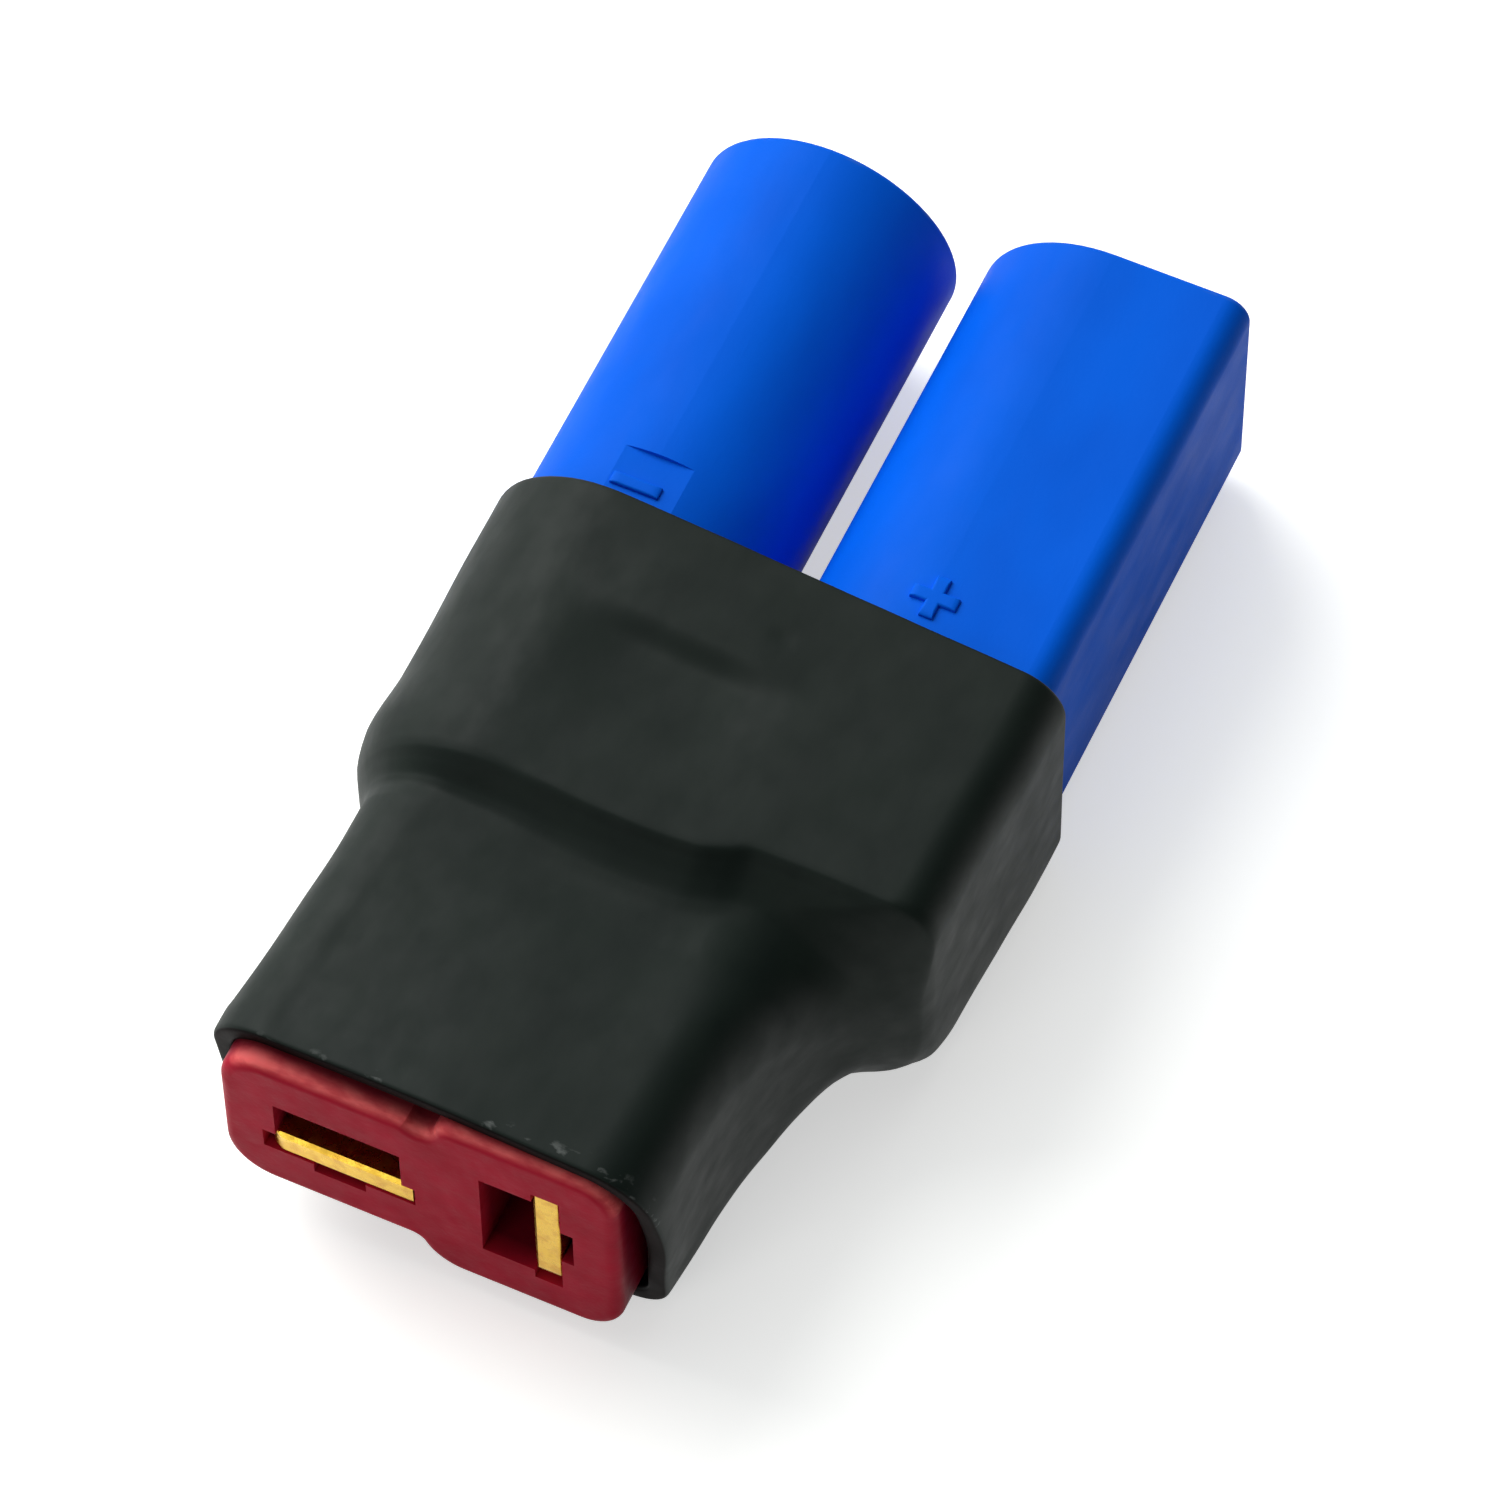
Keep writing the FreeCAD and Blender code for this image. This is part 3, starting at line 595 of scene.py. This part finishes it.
def makeSleeve(material):
    # Rows run along the outer skin, round the rear rim, back inside and round the front rim,
    # and columns run round the section, so the whole wall is one closed sheet. The cut rims are
    # sine and cosine raised to cutEdge, which is squarer than a half round.
    front, rear, steps = sleeve["frontX"], sleeve["rearX"], sleeve["alongSteps"]
    frontHalf, rearHalf = followTable(sleeve["wall"], np.array([front, rear])) / 2
    frontEnd, rearEnd = front + frontHalf, rear - rearHalf
    start, end = sleeve["shoulder"]
    outerX = np.concatenate([
        np.linspace(frontEnd, start, steps["plug"], endpoint=False),
        np.linspace(start, end, steps["shoulder"], endpoint=False),
        np.linspace(end, rearEnd, steps["barrels"]),
    ])
    innerX = np.linspace(rearEnd, frontEnd, steps["inside"])
    turn = np.linspace(0, math.pi, steps["rim"] + 2)[1:-1]
    forward = np.sin(turn) ** sleeve["cutEdge"]
    across = np.sign(np.cos(turn)) * np.abs(np.cos(turn)) ** sleeve["cutEdge"]
    x = np.concatenate([outerX, rearEnd + rearHalf * forward, innerX, frontEnd - frontHalf * forward])
    depth = np.concatenate([0 * outerX, (1 - across) / 2, 0 * innerX + 1, (1 + across) / 2])
    y, z, outY, outZ = sleeveSection(x, depth * followTable(sleeve["wall"], x))
    x = x[:, None] + 0 * y
    out = reliefOut(x, y, z, 1 - depth[:, None])
    y = y + outY * out
    z = z + outZ * out
    frontShare = 1 - ease(x, front, front + sleeve["frontReach"])
    rearShare = ease(x, rear - sleeve["rearReach"], rear)
    x = x + (sleeve["frontSkew"] * (y - sleeve["plugY"]) - sleeve["frontLean"] * z) * frontShare
    x = x + sleeve["rearSkew"] * y * rearShare
    points = np.stack([x + plugFaceX, y, z + axisZ], -1)
    piece = meshFromGrid("shrunkSleeve", points, material, wrapRows=True)
    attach(piece, "root")
    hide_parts("outer_sleeve")
    return piece


# Raised marks on the blue barrels

marks = {
    "plus": {"x": 5.38, "y": -5.9, "long": 0.93, "thick": 0.28, "high": 0.17},  # halves of its bars
    "minus": {"x": 5.42, "y": 6.35, "long": 1.0, "thick": 0.26, "high": 0.17},
    "barrelRadius": 5.325,
    "roundY": 6.0575,
    "flatHeight": 5.135,  # of the flat that the minus stands on, above the axis
    "sunk": 0.25,
    "edge": 0.1,
    "topInset": 0.15,
    "core": 0.1,  # the first and the last ring, as a share of the outline
    "ringPoints": 360,
    "edgeSteps": 7,
}


def crossReach(angle, long, thick, bars):
    # Distance from the middle to the outline of one bar, or of two crossed bars
    c, s = np.abs(np.cos(angle)) + 1e-9, np.abs(np.sin(angle)) + 1e-9
    reach = np.minimum(thick / c, long / s)
    return np.maximum(reach, np.minimum(long / c, thick / s)) if bars == 2 else reach


def makeMark(name, mark, bars, material, onRound):
    # Rings grow from the middle of the base to the outline, rise, and close over a softened edge;
    # each point then stands on the barrel's own surface, which is flat under the minus
    edge, thick, high, sunk = marks["edge"], mark["thick"], mark["high"], marks["sunk"]
    angle = np.linspace(0, 2 * math.pi, marks["ringPoints"], endpoint=False)[None, :]
    turn = np.linspace(0, math.pi / 2, marks["edgeSteps"])
    share = np.concatenate([[marks["core"], 1, 1], 1 - edge * (1 - np.cos(turn)) / thick,
                            [1 - marks["topInset"] / thick, marks["core"]]])[:, None]
    lift = np.concatenate([[-sunk, -sunk, 0], high - edge + edge * np.sin(turn), [high, high]])[:, None]
    radius = crossReach(angle, mark["long"], thick, bars) * share
    x = mark["x"] + radius * np.cos(angle)
    y = mark["y"] + radius * np.sin(angle)
    base = marks["barrelRadius"] + 0 * y
    if onRound:
        curved = np.sqrt(marks["barrelRadius"] ** 2 - (y - marks["roundY"]) ** 2)
        base = np.minimum(curved, marks["flatHeight"])
    piece = meshFromGrid(name, np.stack([x, y, axisZ + base + lift], -1), material, poles=True)
    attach(piece, "root")
    return piece


# Floor and light

studio = {
    "floorColour": (0.80, 0.80, 0.79),
    "shownFloor": (0.94, 0.95, 0.93),
    "floorGlow": 0.56,
    "floorRough": 0.9,
    "floorSize": 3.0,  # metres, as are the lamps' places and sizes
    "skyColour": (0.96, 0.99, 0.99),
    "skyToward": (0.40, 0.55, 0.73),
    "skyRange": (0.5, 0.95),  # how near a direction is to skyToward, from dim to bright
    "skyDim": 0.09,
    "skyBright": 0.95,
    "lampsAim": (0, 0, 0.005),
    "lamps": [
        {"name": "windowSoftbox", "place": (0.16, 0.36, 0.355), "size": 0.50, "power": 2.5,
         "colour": (1.0, 1.0, 0.98)},
        {"name": "frontSoftbox", "place": (-0.30, 0.08, 0.18), "size": 0.16, "power": 0.14,
         "colour": (1.0, 0.99, 0.97)},
    ],
}


def makeFloor():
    # The camera, mirrors and clear things see a floor that glows to near white and keeps the
    # object's shadow; the light it bounces comes from its plain colour alone
    half = studio["floorSize"] / 2
    mesh = bpy.data.meshes.new("floor")
    corners = [(-half, -half, 0), (half, -half, 0), (half, half, 0), (-half, half, 0)]
    mesh.from_pydata(corners, [], [(0, 1, 2, 3)])
    floor = bpy.data.objects.new("floor", mesh)
    bpy.context.scene.collection.objects.link(floor)
    sockets = {"Roughness": studio["floorRough"], "Specular IOR Level": 0.0, "Emission Color": (1, 1, 1, 1)}
    material, tree, shader, place = startMaterial("paleFloor", sockets)
    path = tree.nodes.new("ShaderNodeLightPath").outputs
    seen = combine(tree, "ADD", path["Is Camera Ray"], path["Is Glossy Ray"])
    seen = combine(tree, "ADD", seen, path["Is Transmission Ray"])
    setShader(tree, shader, "Base Color", mixColour(tree, seen, studio["floorColour"], studio["shownFloor"]))
    setShader(tree, shader, "Emission Strength", remap(tree, seen, 0, studio["floorGlow"], 0, 1))
    mesh.materials.append(material)


def makeLight():
    # The sky is brightest on one side, as beside a window, and one softbox stands there too
    world = bpy.data.worlds.new("studioWorld")
    bpy.context.scene.world = world
    world.use_nodes = True
    tree = world.node_tree
    sky = tree.nodes["Background"]
    sky.inputs["Color"].default_value = (*studio["skyColour"], 1)
    where = tree.nodes.new("ShaderNodeTexCoord")
    nearness = tree.nodes.new("ShaderNodeVectorMath")
    nearness.operation = "DOT_PRODUCT"
    nearness.inputs[1].default_value = studio["skyToward"]
    tree.links.new(where.outputs["Generated"], nearness.inputs[0])
    strength = remap(tree, nearness.outputs["Value"], studio["skyDim"], studio["skyBright"],
                     *studio["skyRange"])
    tree.links.new(strength, sky.inputs["Strength"])
    for lamp in studio["lamps"]:
        data = bpy.data.lights.new(lamp["name"], "AREA")
        data.shape = "DISK"
        data.size = lamp["size"]
        data.energy = lamp["power"]
        data.color = lamp["colour"]
        light = bpy.data.objects.new(lamp["name"], data)
        aim = Vector(studio["lampsAim"]) - Vector(lamp["place"])
        turn = aim.to_track_quat("-Z", "Y").to_matrix().to_4x4()
        light.matrix_world = Matrix.Translation(lamp["place"]) @ turn
        bpy.context.scene.collection.objects.link(light)


placeCamera()
makeFloor()
makeLight()
bpy.context.scene.view_settings.view_transform = "Standard"
print("camera, floor and light placed")

# A CAD node's finish goes by its whole name, or else by the last word of it
goldFinish = makeGoldPlate()
finishes = {
    "barrel_housing": makeBluePlastic(),
    "plug_housing": makeRedPlastic(),
    "outer_sleeve": makeBlackSleeving(),
    "socket": goldFinish,
    "contact": goldFinish,
    "spring": makeBareMetal("springSteel"),
    "wire": makeBareMetal("tinnedWire"),
    "solder": makeBareMetal("solderMetal"),
}
for nodeName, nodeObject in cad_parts.items():
    lastWord = nodeName.rsplit("_", 1)[1]
    nodeObject.data.materials.clear()
    nodeObject.data.materials.append(finishes.get(nodeName) or finishes[lastWord])
print("materials set on the CAD nodes")

makeSleeve(finishes["outer_sleeve"])
print("sleeve made")

makeMark("plusMark", marks["plus"], 2, finishes["barrel_housing"], onRound=False)
makeMark("minusMark", marks["minus"], 1, finishes["barrel_housing"], onRound=True)
print("marks made")
